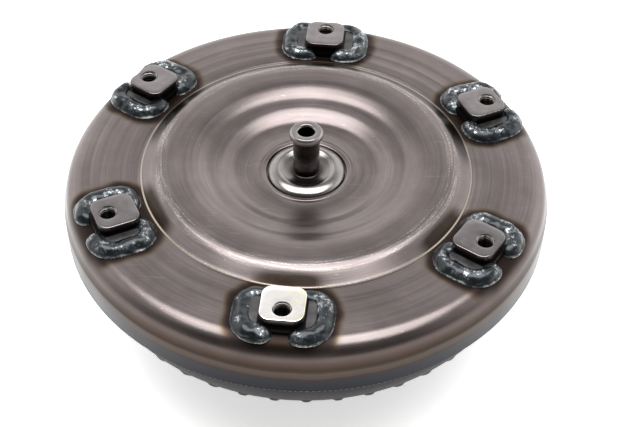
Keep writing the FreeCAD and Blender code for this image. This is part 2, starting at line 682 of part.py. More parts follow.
# ---- stator and one-way clutch -----------------------------------------------------------
def stator_blade():
    """Curved vane: its section lies in the tangential plane and runs straight out from the axis."""
    top_depth, top_y = STATOR_BLADE_TOP
    end_depth, end_y = STATOR_BLADE_END
    middle = (top_depth + end_depth) / 2
    hub_bite, ring_bite = STATOR_VANE_BITE
    span = STATOR_RING[0] - STATOR_HUB_R + 3 * hub_bite

    def point(y, depth):
        return FreeCAD.Vector(STATOR_HUB_R - 2 * hub_bite, y, PAD_Z - depth)

    sides = []
    for camber in STATOR_BLADE_CAMBER:
        side = Part.Arc(point(top_y, top_depth), point(camber, middle), point(end_y, end_depth))
        sides.append(side.toShape())
    vane = Part.Face(Part.Wire(sides)).extrude(FreeCAD.Vector(span, 0, 0))
    return vane.common(ring(STATOR_HUB_R - hub_bite, STATOR_RING[0] + ring_bite, STATOR_HUB[0], PAD_Z))


def stator_wheel():
    hub = ring(OUTER_RACE_R[1], STATOR_HUB_R, *STATOR_HUB)
    hub = hub.cut(ring(OUTER_RACE_R[1], *SNAP_RING[1:4]))
    rim = ring(*STATOR_RING)
    return hub.fuse([rim] + around(stator_blade(), STATOR_BLADES))


def clutch_outer_race():
    pocket = post(POCKET_R, ROLLER_CIRCLE_R, 0, 0, PAD_Z)
    spring_room = turned(post(SPRING_POCKET_R, ROLLER_CIRCLE_R, 0, 0, PAD_Z), SPRING_POCKET_ANGLE)
    race = ring(*OUTER_RACE_R, RACE_TOP, RACE_END)
    return race.cut(around(pocket, ROLLER_COUNT) + around(spring_room, ROLLER_COUNT))


def clutch_rollers():
    roller = post(ROLLER_R, ROLLER_CIRCLE_R, 0, RACE_TOP + ROLLER_PLAY, RACE_END - ROLLER_PLAY)
    return around(roller, ROLLER_COUNT)


def clutch_springs():
    """Folded strip springs that press each roller into its wedge."""
    strip = CLUTCH_SPRING_STRIP
    bends = [(CLUTCH_SPRING_R[i % 2], CLUTCH_SPRING_START + CLUTCH_SPRING_FOLD * i)
             for i in range(CLUTCH_SPRING_FOLDS + 1)]
    leaves = []
    for (x1, y1), (x2, y2) in zip(bends, bends[1:]):
        leaf = [(x1, y1), (x2, y2), (x2, y2 + strip), (x1, y1 + strip)]
        leaves.append(prism(leaf, RACE_TOP + CLUTCH_SPRING_INSET, RACE_END - CLUTCH_SPRING_INSET))
    spring = leaves[0].fuse(leaves[1:]).removeSplitter()
    return around(spring, ROLLER_COUNT)


def clutch_inner_race():
    top = RACE_TOP + INNER_RACE_PLAY
    end = RACE_END - INNER_RACE_PLAY
    core = spline_bore(STATOR_SPLINE_TIP_R, STATOR_SPLINE_ROOT_R, STATOR_SPLINE_TEETH, top, end)
    return disc(INNER_RACE_R, top, end).cut(core)


def stator_snap_ring():
    return ring(*SNAP_RING).cut(block(0, RIM_R, SNAP_RING_GAP, 0, PAD_Z))


# ---- needle thrust bearings ----------------------------------------------------------------
def needles(span):
    middle = PAD_Z - (span[0] + span[1]) / 2
    start = FreeCAD.Vector(NEEDLE_MID_R - NEEDLE_LENGTH / 2, 0, middle)
    return around(Part.makeCylinder(NEEDLE_R, NEEDLE_LENGTH, start, X_AXIS), NEEDLE_COUNT)


def cage(span):
    middle = (span[0] + span[1]) / 2
    inner = NEEDLE_MID_R - NEEDLE_LENGTH / 2 - CAGE_SLOT_PLAY
    outer = NEEDLE_MID_R + NEEDLE_LENGTH / 2 + CAGE_SLOT_PLAY
    slot = block(inner, outer, 2 * (NEEDLE_R + CAGE_SLOT_PLAY), 0, PAD_Z)
    plate = ring(*CAGE_R, middle - CAGE_T / 2, middle + CAGE_T / 2)
    return plate.cut(around(slot, NEEDLE_COUNT))


def thrust_race(top):
    return ring(*THRUST_RACE_R, top, top + THRUST_RACE_T)


# ---- all the pieces -------------------------------------------------------------------------
os.makedirs("parts", exist_ok=True)

cover = front_cover()
save("front_cover", cover)
save("pilot_hub", pilot_hub())
lug = mounting_lug()
bead = weld_bead(cover, lug)
mirrored_bead = bead.mirror(ORIGIN, FreeCAD.Vector(0, 1, 0))
save("mounting_lugs", *around(lug, LUG_COUNT, LUG_FIRST_ANGLE))
save("lug_weld_beads", *around(bead, LUG_COUNT, LUG_FIRST_ANGLE),
     *around(mirrored_bead, LUG_COUNT, LUG_FIRST_ANGLE))
save("rim_seam_weld", rim_seam_weld())
save("impeller_shell", impeller_shell())
save("impeller_blades", *impeller_blades())
save("impeller_core_ring", core_ring(IMPELLER_CORE, -180, 0))
save("impeller_hub", impeller_hub())
save("impeller_hub_weld", impeller_hub_weld())
save("impeller_thrust_race", thrust_race(REAR_BEARING[1]))

save("turbine_hub", turbine_hub())
save("turbine_shell", turbine_shell())
save("turbine_blades", *turbine_blades())
save("turbine_core_ring", core_ring(TURBINE_CORE, 0, 180))
save("turbine_rivets", *turbine_rivets())
save("turbine_thrust_washer", ring(*WASHER_R, WASHER_TOP, NOSE_DEPTH))
save("piston_seal_ring", piston_seal_ring())
save("turbine_thrust_race", thrust_race(FRONT_BEARING[0] - THRUST_RACE_T))
save("turbine_drive_ring", turbine_drive_ring())

save("damper_retainer", damper_retainer())
save("damper_back_plate", damper_back_plate())
save("damper_rivets", *damper_rivets())
save("damper_springs", *damper_springs())

save("lockup_piston", lockup_piston())
save("friction_lining", ring(*LINING, PISTON_FACE[-1][1]))

save("stator_wheel", stator_wheel())
save("clutch_outer_race", clutch_outer_race())
save("clutch_rollers", *clutch_rollers())
save("clutch_springs", *clutch_springs())
save("clutch_front_plate", ring(*CLUTCH_PLATE_R, RACE_TOP - CLUTCH_PLATE_T, RACE_TOP))
save("clutch_rear_plate", ring(*CLUTCH_PLATE_R, RACE_END, RACE_END + CLUTCH_PLATE_T))
save("stator_snap_ring", stator_snap_ring())
save("stator_front_race", thrust_race(FRONT_BEARING[1]))
save("stator_rear_race", thrust_race(REAR_BEARING[0] - THRUST_RACE_T))
save("clutch_inner_race", clutch_inner_race())

save("front_bearing_cage", cage(FRONT_BEARING))
save("front_bearing_needles", *needles(FRONT_BEARING))
save("rear_bearing_cage", cage(REAR_BEARING))
save("rear_bearing_needles", *needles(REAR_BEARING))
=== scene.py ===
import json
import math

import bmesh
import bpy
import numpy as np
from mathutils import Matrix, Vector


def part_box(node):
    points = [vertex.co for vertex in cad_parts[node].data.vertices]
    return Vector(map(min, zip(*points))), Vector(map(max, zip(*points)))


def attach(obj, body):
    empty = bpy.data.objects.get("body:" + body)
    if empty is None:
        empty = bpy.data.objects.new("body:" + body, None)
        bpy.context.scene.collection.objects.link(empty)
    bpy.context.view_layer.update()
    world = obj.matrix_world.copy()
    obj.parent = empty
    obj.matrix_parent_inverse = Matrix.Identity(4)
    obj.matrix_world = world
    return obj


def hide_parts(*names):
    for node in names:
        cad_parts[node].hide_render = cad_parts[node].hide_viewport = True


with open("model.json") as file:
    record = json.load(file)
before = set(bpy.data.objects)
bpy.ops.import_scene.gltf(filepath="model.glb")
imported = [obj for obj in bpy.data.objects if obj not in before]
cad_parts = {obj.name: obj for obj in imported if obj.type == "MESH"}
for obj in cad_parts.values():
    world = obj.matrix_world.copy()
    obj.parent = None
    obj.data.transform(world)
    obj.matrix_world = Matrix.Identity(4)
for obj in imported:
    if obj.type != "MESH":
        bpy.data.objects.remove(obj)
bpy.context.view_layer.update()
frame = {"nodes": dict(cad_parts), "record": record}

# Lengths are in millimetres until a mesh is made. Heights are depths below the six pads.
MM = 0.001
PAD_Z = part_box("mounting_lugs")[1].z / MM
RIM_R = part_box("front_cover")[1].x / MM
COVER_END = PAD_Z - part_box("front_cover")[0].z / MM
PILOT_TOP = PAD_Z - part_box("pilot_hub")[1].z / MM
WALL_INNER_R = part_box("impeller_shell")[1].x / MM
HUB_END = PAD_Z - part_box("impeller_hub")[0].z / MM
HUB_FLANGE_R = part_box("impeller_hub")[1].x / MM
LUG_COUNT = 6
FIRST_LUG = math.radians(30)
LUG_STEP = 2 * math.pi / LUG_COUNT
BOLT_CIRCLE_R = 120.0
PAD_CENTRE_R = 116.0
FACE_DEPTH = 9.0
STEP_DEPTH = 5.6
COVER_T = 4.5
SHOULDER_CENTRE = (129.5, 20.0)
SHOULDER_R = 11.0
SHELL_CENTRE = (91.5, 47.0)
SHELL_HALF = (42.0, 38.0)
SHELL_T = 3.0
SHELL_FLANGE = 70.0
HUB_FLANGE_END = SHELL_FLANGE + 2.0
HUB_SLEEVE_R = 25.0
HUB_BORE_R = 21.5
PILOT_SEAT_R = 21.0
PILOT_BORE_R = 4.6
PILOT_SHAFT_R = 7.7
PILOT_HEAD_R = 9.7
THREAD_R = 5.0
THREAD_CORE_R = 4.3
THREAD_PITCH = 1.5
HOLE_MOUTH_R = 5.2
# The welds on one lug fill this rounded rectangle: middle, half length, half width, corner.
WELD_AREA = (117.2, 19.0, 26.8, 13.0)
WELD_BASE = 9.9
# Section of the cover's raised centre, as (radius, depth), from the pilot's seat to its foot.
DISH = [(40.5, 13.0), (43.5, 12.2), (49.8, 9.1), (53.8, 8.05), (58.5, 7.05), (62.8, 5.2),
        (67.3, 3.7), (72.0, 3.1), (80.0, 3.0), (84.6, 3.35), (87.6, 4.3), (90.6, 6.1),
        (94.9, 8.95), (95.9, 9.36), (97.0, 9.44)]
CENTRE_EDGE_R = 85.5
CENTRE_FOOT_R = 96.2
# Points nearer to the axis than ON_AXIS count as on it; points within MERGE metres are one.
ON_AXIS = 0.01
MERGE = 1e-6
SHARP_ANGLE = math.radians(38)


# ---- node trees -----------------------------------------------------------------------
class Wire:
    """A socket that takes part in Python expressions; each operator adds a Math node."""

    def __init__(self, net, socket):
        self.net = net
        self.socket = socket

    def math(self, operation, *others):
        values = dict(enumerate((self,) + others))
        return self.net.node("ShaderNodeMath", {"operation": operation}, values)[0]

    def __add__(self, other):
        return self.math("ADD", other)

    __radd__ = __add__

    def __mul__(self, other):
        return self.math("MULTIPLY", other)

    def __neg__(self):
        return self * -1.0

    def __sub__(self, other):
        return self.math("SUBTRACT", other)

    def __rsub__(self, other):
        return -self + other

    def __truediv__(self, other):
        return self.math("DIVIDE", other)

    def __pow__(self, other):
        return self.math("POWER", other)

    def __abs__(self):
        return self.math("ABSOLUTE")

    def least(self, other):
        return self.math("MINIMUM", other)

    def most(self, other):
        return self.math("MAXIMUM", other)

    def rise(self, low, high, start=0.0, end=1.0):
        """Smooth step from start to end while this value goes from low to high."""
        settings = {"interpolation_type": "SMOOTHSTEP"}
        values = {"Value": self, "From Min": low, "From Max": high, "To Min": start, "To Max": end}
        return self.net.node("ShaderNodeMapRange", settings, values)["Result"]

    def band(self, middle, half, soft):
        """1 within half of the middle, falling to 0 over the soft width outside it."""
        return abs(self - middle).rise(half, half + soft, 1.0, 0.0)


class Outputs:
    """A node's outputs, by name or by number."""

    def __init__(self, net, made):
        self.net = net
        self.made = made

    def __getitem__(self, key):
        if isinstance(key, int):
            return Wire(self.net, self.made.outputs[key])
        return Wire(self.net, [s for s in self.made.outputs if s.name == key][0])


class Net:
    """Builds one node tree, for a material, a world or a piece's geometry."""

    def __init__(self, tree):
        self.tree = tree

    def node(self, kind, settings=None, values=None):
        made = self.tree.nodes.new(kind)
        for name, value in (settings or {}).items():
            if name == "stops":
                self.set_stops(made.color_ramp, value)
            else:
                setattr(made, name, value)
        for key, value in (values or {}).items():
            by_name = [s for s in made.inputs if s.name == key]
            self.feed(by_name[0] if by_name else made.inputs[key], value)
        return Outputs(self, made)

    def feed(self, socket, value):
        if isinstance(value, Wire):
            self.tree.links.new(value.socket, socket)
        elif isinstance(value, list):
            for one in value:
                self.feed(socket, one)
        else:
            plain = isinstance(value, tuple) and len(value) == 3 and socket.type == "RGBA"
            socket.default_value = (*value, 1.0) if plain else value

    def set_stops(self, ramp, stops):
        ends = (ramp.elements[0], ramp.elements[1])
        for element, (position, colour) in zip(ends, (stops[0], stops[-1])):
            element.position = position
            element.color = (*colour, 1.0)
        for position, colour in stops[1:-1]:
            ramp.elements.new(position).color = (*colour, 1.0)

    def vector(self, x, y, z):
        return self.node("ShaderNodeCombineXYZ", {}, {"X": x, "Y": y, "Z": z})[0]

    def split(self, vector):
        parts = self.node("ShaderNodeSeparateXYZ", {}, {"Vector": vector})
        return parts["X"], parts["Y"], parts["Z"]

    def scaled(self, vector, factor):
        values = {"Vector": vector, "Scale": factor}
        return self.node("ShaderNodeVectorMath", {"operation": "SCALE"}, values)[0]

    def locate(self, position):
        """Keep a position in metres as millimetres, and as a place round the axis."""
        self.place = self.scaled(position, 1.0 / MM)
        self.x, self.y, self.z = self.split(self.place)
        self.depth = PAD_Z - self.z
        self.radius = (self.x * self.x + self.y * self.y) ** 0.5
        self.angle = self.y.math("ARCTAN2", self.x)

    def by_lug(self):
        """Place by the nearest lug: distance out from the axis, and distance to its side."""
        nearest = ((self.angle - FIRST_LUG) / LUG_STEP).math("ROUND")
        swing = self.angle - FIRST_LUG - nearest * LUG_STEP
        return self.radius * swing.math("COSINE"), self.radius * swing.math("SINE")

    def noise(self, vector, scale, detail=3.0, roughness=0.55):
        values = {"Vector": vector, "Scale": scale, "Detail": detail, "Roughness": roughness}
        return self.node("ShaderNodeTexNoise", {}, values)[0]


class Finish(Net):
    """One material: the surface point in millimetres, its place round the axis, and a shader."""

    def __init__(self, name, metallic=1.0, coat=0.0, coat_roughness=0.1):
        self.material = bpy.data.materials.new(name)
        self.material.use_nodes = True
        super().__init__(self.material.node_tree)
        self.tree.nodes.clear()
        self.shader = self.tree.nodes.new("ShaderNodeBsdfPrincipled")
        output = self.tree.nodes.new("ShaderNodeOutputMaterial")
        self.tree.links.new(self.shader.outputs["BSDF"], output.inputs["Surface"])
        self.shader.inputs["Metallic"].default_value = metallic
        self.shader.inputs["Coat Weight"].default_value = coat
        self.shader.inputs["Coat Roughness"].default_value = coat_roughness
        self.locate(self.node("ShaderNodeTexCoord")["Object"])

    def turned(self, across, around, detail=2.0, down=0.0):
        """Noise in circles round the axis: fine across the radius, slow along the turn."""
        east = self.x / self.radius * around
        north = self.y / self.radius * around
        section = self.radius * across + self.depth * down
        return self.noise(self.vector(section, east, north), 1.0, detail)

    def scratches(self, degrees, across=0.9, along=0.03, low=0.66):
        """Thin straight marks in one direction, broken up along their length."""
        values = {"Vector": self.place, "Rotation": (0.0, 0.0, math.radians(degrees)),
                  "Scale": (along, across, across)}
        stretched = self.node("ShaderNodeMapping", {}, values)[0]
        return self.noise(stretched, 1.0, 3.0, 0.6).rise(low, low + 0.06)

    def to_weld(self):
        """Distance from the nearest lug's pair of welds, below 0 inside their outline."""
        middle, half_length, half_width, corner = WELD_AREA
        out, side = self.by_lug()
        out = abs(out - middle) - (half_length - corner)
        side = abs(side) - (half_width - corner)
        outside = (out.most(0.0) ** 2.0 + side.most(0.0) ** 2.0) ** 0.5
        return outside + out.most(side).least(0.0) - corner

    def mix(self, share, first, second):
        """Colour between two others; the node's colour sockets go by number."""
        made = self.node("ShaderNodeMix", {"data_type": "RGBA"}).made
        for socket, value in ((0, share), (6, first), (7, second)):
            self.feed(made.inputs[socket], value)
        return Wire(self, made.outputs[2])

    def ramp(self, share, stops):
        return self.node("ShaderNodeValToRGB", {"stops": stops}, {"Fac": share})["Color"]

    def bump(self, height, distance):
        values = {"Height": height, "Distance": distance * MM}
        return self.node("ShaderNodeBump", {}, values)["Normal"]

    def done(self, colour, roughness, normal=None):
        self.feed(self.shader.inputs["Base Color"], colour)
        self.feed(self.shader.inputs["Roughness"], roughness)
        if normal:
            self.feed(self.shader.inputs["Normal"], normal)
        return self.material


# ---- materials --------------------------------------------------------------------------
def pressed_steel():
    """Deep drawn cover: warm brown grey, ringed by the press, heat coloured at each weld."""
    f = Finish("drawn_cover_steel")
    fine = f.turned(2.6, 1.5)
    broad = f.turned(0.35, 1.1, 3.0)
    cloud = f.noise(f.place, 0.028, 4.0, 0.6)
    grain = f.noise(f.place, 0.9, 3.0, 0.65)
    marks = f.scratches(24).most(f.scratches(-51, 0.7, 0.025, 0.68))
    marks = marks.most(f.scratches(88, 1.1, 0.04, 0.69))
    tone = fine * 0.3 + broad * 0.3 + cloud * 0.4
    colour = f.ramp(tone, [(0.3, (0.1, 0.083, 0.08)),
                           (0.5, (0.142, 0.121, 0.118)),
                           (0.7, (0.2, 0.175, 0.172))])
    colour = f.mix(marks * 0.25, colour, (0.4, 0.37, 0.355))
    # Rubbed, speckled edge of the raised centre.
    speck = f.noise(f.place, 1.5, 4.0, 0.75).rise(0.5, 0.62)
    rubbed = f.radius.band(CENTRE_EDGE_R, 1.5, 4.0) * f.turned(0.9, 3.0, 4.0).rise(0.44, 0.6)
    colour = f.mix(rubbed * (speck * 0.8 + 0.1), colour, (0.48, 0.45, 0.43))
    # Heat colours spread unevenly from the welds: black, brown, straw, then bare steel.
    spread = f.noise(f.place, 0.05, 2.0, 0.5)
    away = f.to_weld() + (spread - 0.5) * 6.0 + (cloud - 0.5) * 4.0
    heat = f.ramp(away.rise(-1.0, 9.0), [(0.0, (0.012, 0.009, 0.009)),
                                         (0.24, (0.024, 0.017, 0.015)),
                                         (0.42, (0.05, 0.034, 0.026)),
                                         (0.6, (0.085, 0.064, 0.05)),
                                         (0.78, (0.125, 0.104, 0.082)),
                                         (1.0, (0.15, 0.128, 0.12))])
    colour = f.mix(away.rise(3.0, 9.0, 1.0, 0.0), colour, heat)
    # The rim was heated by the seam below it: brown, a paler tan, purple brown, blue grey. Towards
    # the cut edge the colour then falls to near black, which is painted shade on the lower wall.
    wall = f.depth + (f.turned(0.2, 5.0, 3.0) - 0.5) * 3.0
    seam_heat_and_shade = f.ramp(wall.rise(10.0, 41.0), [(0.0, (0.12, 0.1, 0.094)),
                                               (0.2, (0.065, 0.048, 0.042)),
                                               (0.38, (0.036, 0.025, 0.019)),
                                               (0.44, (0.036, 0.027, 0.022)),
                                               (0.5, (0.054, 0.042, 0.036)),
                                               (0.64, (0.046, 0.034, 0.027)),
                                               (0.72, (0.024, 0.015, 0.013)),
                                               (0.79, (0.015, 0.015, 0.018)),
                                               (0.88, (0.012, 0.014, 0.017)),
                                               (0.97, (0.01, 0.01, 0.014)),
                                               (1.0, (0.006, 0.006, 0.008))])
    on_rim = f.depth.rise(10.0, 15.0) * f.radius.rise(125.0, 131.0)
    colour = f.mix(on_rim, colour, seam_heat_and_shade)
    cut_edge = f.depth.rise(COVER_END - 0.7, COVER_END - 0.5)
    colour = f.mix(cut_edge, colour, (0.004, 0.004, 0.005))
    # Beside each lug the heat also browned the foot of the centre and the shoulder.
    out, side = f.by_lug()
    browned = out.band(113.5, 22.0, 5.0) * side.band(0.0, 12.0, 13.0) * (cloud * 0.8 + 0.5)
    browned = browned.least(0.9) * out.band(131.0, 1.0, 2.5).rise(0.0, 1.0, 1.0, 0.4)
    colour = f.mix(browned, colour, (0.018, 0.012, 0.009))
    # Painted highlight: a bright line where the centre meets the face, fainter at the back.
    foot = f.radius.band(CENTRE_FOOT_R, 0.25, 0.4) * f.y.rise(-60.0, 20.0, 1.0, 0.25)
    colour = f.mix(foot * 0.8, colour, (0.66, 0.57, 0.48))
    roughness = 0.22 + fine * 0.06 + cloud * 0.12 - marks * 0.05
    roughness = roughness + away.rise(0.0, 9.0, 0.08, 0.0) - foot * 0.1
    height = fine * 0.15 + broad * 0.2 + grain * 0.35 + marks * 0.2
    return f.done(colour, roughness, f.bump(height, 0.025))


def turned_steel():
    """Pilot: bright turned head and bowl, a shaft coloured near black, and painted shade in the
    bore and on the bowl floor.
    """
    f = Finish("turned_pilot_steel")
    rings = f.turned(7.0, 0.8, 2.0, 7.0)
    cloud = f.noise(f.place, 0.12, 3.0)
    tone = rings * 0.6 + cloud * 0.4
    colour = f.ramp(tone, [(0.3, (0.15, 0.14, 0.138)), (0.7, (0.29, 0.275, 0.27))])
    # The shaft below the head is coloured near black, fading out across the bowl round its foot.
    dark = f.ramp(cloud, [(0.35, (0.014, 0.012, 0.012)), (0.65, (0.04, 0.032, 0.03))])
    shaft = f.depth.rise(PILOT_TOP + 4.6, PILOT_TOP + 6.0)
    shaft = shaft * f.radius.rise(8.4, 12.5, 1.0, 0.0) * f.radius.rise(5.6, 6.4)
    colour = f.mix(shaft, colour, dark)
    # Painted shade: the drilled hole goes dark below its mouth.
    inside = f.radius.rise(PILOT_BORE_R + 0.1, PILOT_BORE_R + 0.5, 1.0, 0.0)
    inside = inside * f.depth.rise(PILOT_TOP + 0.8, PILOT_TOP + 3.0)
    colour = f.mix(inside, colour, (0.02, 0.017, 0.016))
    # Painted shade: the bowl floor round the shaft's foot is darkened.
    bowl_shade = f.radius.band(12.0, 1.0, 3.5) * f.depth.rise(9.0, 11.0) * 0.6
    colour = f.mix(bowl_shade, colour, (0.12, 0.11, 0.1))
    roughness = 0.16 + rings * 0.1 + cloud * 0.06
    return f.done(colour, roughness, f.bump(tone, 0.015))


def lug_steel():
    """Milled pads over sheared, heat darkened sides; painted shade at their foot and in the holes,
    and a painted highlight on the front pad.
    """
    f = Finish("milled_lug_steel")
    mill = f.scratches(12, 2.2, 0.06, 0.5)
    haze = f.noise(f.place, 0.16, 3.0)
    pores = f.noise(f.place, 1.4, 4.0, 0.7).rise(0.6, 0.7)
    colour = f.ramp(haze, [(0.3, (0.165, 0.152, 0.152)), (0.7, (0.21, 0.195, 0.195))])
    # Painted highlight: the pad on -Y, the one nearest the camera, is painted near white for the
    # light it reflects; it also carries a straw stain.
    out, side = f.by_lug()
    front_pad_highlight = f.y.rise(-100.0, -96.0, 1.0, 0.0)
    straw = f.x.rise(-2.0, 9.0) * f.noise(f.place, 0.12, 2.0).rise(0.42, 0.6) * 0.6
    bright = f.mix(straw, (0.95, 0.93, 0.9), (0.93, 0.87, 0.55))
    colour = f.mix(front_pad_highlight, colour, bright)
    colour = f.mix(pores * 0.25, colour, (0.14, 0.12, 0.11))
    # Its edge and sides go from brown to black: the brown is their own colour, and the black
    # towards the foot is painted shade. The foot shows grey beside them.
    edge = f.ramp(f.depth.rise(0.4, 5.4) * 0.8 + haze * 0.2, [(0.1, (0.07, 0.058, 0.054)),
                                                              (0.4, (0.022, 0.018, 0.016)),
                                                              (0.8, (0.007, 0.006, 0.006))])
    colour = f.mix(f.depth.rise(0.02, 0.2), colour, edge)
    strip = f.ramp(haze, [(0.3, (0.05, 0.05, 0.053)), (0.7, (0.1, 0.093, 0.093))])
    beside = f.depth.rise(STEP_DEPTH - 0.3, STEP_DEPTH - 0.1) * abs(side).rise(12.5, 13.1)
    colour = f.mix(beside, colour, strip)
    # Painted shade: the threaded hole goes from grey at its mouth to black deeper down.
    from_hole = ((out - BOLT_CIRCLE_R) ** 2.0 + side * side) ** 0.5
    shade = f.ramp(f.depth.rise(0.3, 4.5), [(0.0, (0.2, 0.18, 0.17)), (1.0, (0.006, 0.005, 0.005))])
    colour = f.mix(from_hole.rise(THREAD_R, THREAD_R + 0.3, 1.0, 0.0), colour, shade)
    roughness = 0.2 + haze * 0.06 + f.depth.rise(0.3, 1.0) * 0.16 + pores * 0.1
    return f.done(colour, roughness, f.bump(mill * 0.3 - pores * 0.4, 0.006))


def lug_weld():
    """Glassy dark blue grey weld metal with painted glints along its crown and bright flecks along
    its toe.
    """
    f = Finish("lug_weld_metal", metallic=0.9, coat=0.35, coat_roughness=0.2)
    flow = f.noise(f.place, 0.12, 4.0, 0.6)
    fleck = f.noise(f.place, 0.6, 4.0, 0.7)
    colour = f.ramp(flow, [(0.3, (0.009, 0.011, 0.013)),
                           (0.48, (0.018, 0.023, 0.026)),
                           (0.62, (0.034, 0.042, 0.045)),
                           (0.74, (0.05, 0.05, 0.056))])
    # Painted glints: bright grey patches on the upper part of the bead.
    glint = f.depth.rise(5.2, 7.4, 1.0, 0.0) * flow.rise(0.5, 0.58) * fleck.rise(0.47, 0.58)
    colour = f.mix(glint * 0.85, colour, (0.4, 0.42, 0.45))
    toe = f.depth.rise(8.1, 8.8) * fleck.rise(0.42, 0.6) * flow.rise(0.35, 0.55)
    colour = f.mix(toe * 0.8, colour, (0.34, 0.33, 0.32))
    roughness = 0.3 + flow * 0.1 + fleck * 0.06 - glint * 0.2
    return f.done(colour, roughness, f.bump(fleck * 0.3 + flow * 0.7, 0.06))


def seam_weld():
    """Machine laid weld with even ripples."""
    f = Finish("seam_weld_metal")
    flow = f.noise(f.place, 0.12, 4.0, 0.6)
    ripple = f.turned(0.3, 60.0, 2.0)
    colour = f.ramp(flow * 0.6 + ripple * 0.4, [(0.32, (0.007, 0.008, 0.011)),
                                                (0.52, (0.016, 0.017, 0.023)),
                                                (0.7, (0.1, 0.095, 0.095))])
    return f.done(colour, 0.28 + ripple * 0.16, f.bump(ripple + flow, 0.08))


def shell_steel():
    """Torus pressing: blue grey, scaled by heat near the seam, dusty lower down."""
    f = Finish("impeller_shell_steel")
    cloud = f.noise(f.place, 0.05, 4.0, 0.6)
    ring = f.turned(0.8, 1.2, 3.0, 0.8)
    grain = f.noise(f.place, 1.1, 3.0, 0.7)
    colour = f.ramp(cloud * 0.5 + ring * 0.5, [(0.3, (0.013, 0.012, 0.012)),
                                               (0.52, (0.022, 0.02, 0.02)),
                                               (0.72, (0.04, 0.036, 0.035))])
    near_seam = f.depth.rise(44.0, 58.0, 1.0, 0.0)
    colour = f.mix(near_seam * 0.7, colour, (0.011, 0.012, 0.015))
    marks = f.scratches(36, 0.8, 0.03, 0.67)
    colour = f.mix(marks * 0.2, colour, (0.3, 0.28, 0.27))
    roughness = 0.42 + grain * 0.14 + cloud * 0.08
    return f.done(colour, roughness, f.bump(grain * 0.5 + ring * 0.5 + marks * 0.3, 0.05))


def ground_hub():
    """Drive hub, ground bright where the seal and bush run."""
    f = Finish("ground_hub_steel")
    lines = f.turned(5.0, 0.7, 2.0, 5.0)
    cloud = f.noise(f.place, 0.07, 3.0)
    tone = lines * 0.5 + cloud * 0.5
    colour = f.ramp(tone, [(0.3, (0.42, 0.405, 0.4)), (0.7, (0.6, 0.585, 0.575))])
    flange = f.radius.rise(HUB_SLEEVE_R + 2.0, HUB_SLEEVE_R + 5.0)
    colour = f.mix(flange * 0.7, colour, (0.2, 0.19, 0.19))
    return f.done(colour, 0.16 + lines * 0.12 + flange * 0.14, f.bump(lines, 0.015))


def inner_finish(name, dark, light, roughness, pattern, relief, metallic=1.0):
    """Finish for inner pieces: two tones and a relief that follow one of three patterns."""
    f = Finish(name, metallic)
    patterns = {"rings": lambda: f.turned(3.0, 1.0, 3.0, 3.0),
                "grain": lambda: f.noise(f.place, 0.8, 4.0, 0.7),
                "lines": lambda: f.scratches(15, 2.0, 0.08, 0.46)}
    figure = patterns[pattern]()
    cloud = f.noise(f.place, 0.08, 3.0)
    colour = f.ramp(figure * 0.55 + cloud * 0.45, [(0.3, dark), (0.7, light)])
    return f.done(colour, roughness + figure * 0.1 + cloud * 0.06, f.bump(figure, relief))


# ---- meshes -------------------------------------------------------------------------------
def curve_through(points, steps):
    """Smooth curve through a row of (radius, depth) points."""
    row = np.array([points[0]] + list(points) + [points[-1]], float)
    found = []
    for p0, p1, p2, p3 in zip(row, row[1:], row[2:], row[3:]):
        for t in np.arange(steps) / steps:
            square = (2 * p0 - 5 * p1 + 4 * p2 - p3) * t ** 2
            cube = (3 * p1 - p0 - 3 * p2 + p3) * t ** 3
            found.append(0.5 * (2 * p1 + (p2 - p0) * t + (square + cube)))
    return [tuple(point) for point in found] + [tuple(points[-1])]


def arc(centre, half, first, last, steps):
    """Round or elliptic arc of a section; angle 0 is outwards and 90 is towards the pads."""
    turns = np.radians(np.linspace(first, last, steps + 1))
    return [(centre[0] + half[0] * math.cos(t), centre[1] - half[1] * math.sin(t)) for t in turns]


def eased(corners, fillet=0.3, steps=3):
    """Closed outline through sharp corners, with each one rounded a little.

    Where the line goes on past an end corner, the caller cuts that corner's extra points off.
    """
    points = []
    for before, here, after in zip(corners[-1:] + corners, corners, corners[1:] + corners[:1]):
        here = Vector(here)
        legs = (Vector(before) - here, Vector(after) - here)
        if here.x < ON_AXIS or min(leg.length for leg in legs) < 0.01:
            points.append(tuple(here))
            continue
        start, end = (here + leg.normalized() * min(fillet, leg.length * 0.45) for leg in legs)
        for step in range(steps + 1):
            t = step / steps
            points.append(tuple(start * (1 - t) ** 2 + here * 2 * t * (1 - t) + end * t ** 2))
    return points


def finish_mesh(mesh):
    """Merge doubled points, point every face outwards and shade smoothly up to real edges."""
    work = bmesh.new()
    work.from_mesh(mesh)
    bmesh.ops.remove_doubles(work, verts=work.verts, dist=MERGE)
    bmesh.ops.recalc_face_normals(work, faces=work.faces)
    work.to_mesh(mesh)
    work.free()
    mesh.polygons.foreach_set("use_smooth", [True] * len(mesh.polygons))
    mesh.set_sharp_from_angle(angle=SHARP_ANGLE)


def bake(made):
    """Run a piece's modifiers and keep the result as its plain mesh."""
    evaluated = made.evaluated_get(bpy.context.evaluated_depsgraph_get())
    plain = bpy.data.meshes.new_from_object(evaluated)
    made.modifiers.clear()
    made.data = plain
    finish_mesh(plain)
    return made


def piece(name, vertices, faces, material):
    """Object from points in millimetres, with heights given as depths."""
    points = np.array(vertices, float)
    points[:, 2] = PAD_Z - points[:, 2]
    mesh = bpy.data.meshes.new(name)
    mesh.from_pydata(points * MM, [], faces)
    mesh.materials.append(material)
    finish_mesh(mesh)
    made = bpy.data.objects.new(name, mesh)
    bpy.context.scene.collection.objects.link(made)
    return made


def rings_to_faces(sizes):
    """Faces between rings of points laid in a row; a ring of one point is a pole."""
    faces = []
    start = 0
    for low, high in zip(sizes, sizes[1:]):
        other = start + low
        for i in range(max(low, high)):
            j = (i + 1) % max(low, high)
            if low == 1:
                faces.append((start, other + j, other + i))
            elif high == 1:
                faces.append((start + i, start + j, other))
            else:
                faces.append((start + i, start + j, other + j, other + i))
        start = other
    return faces


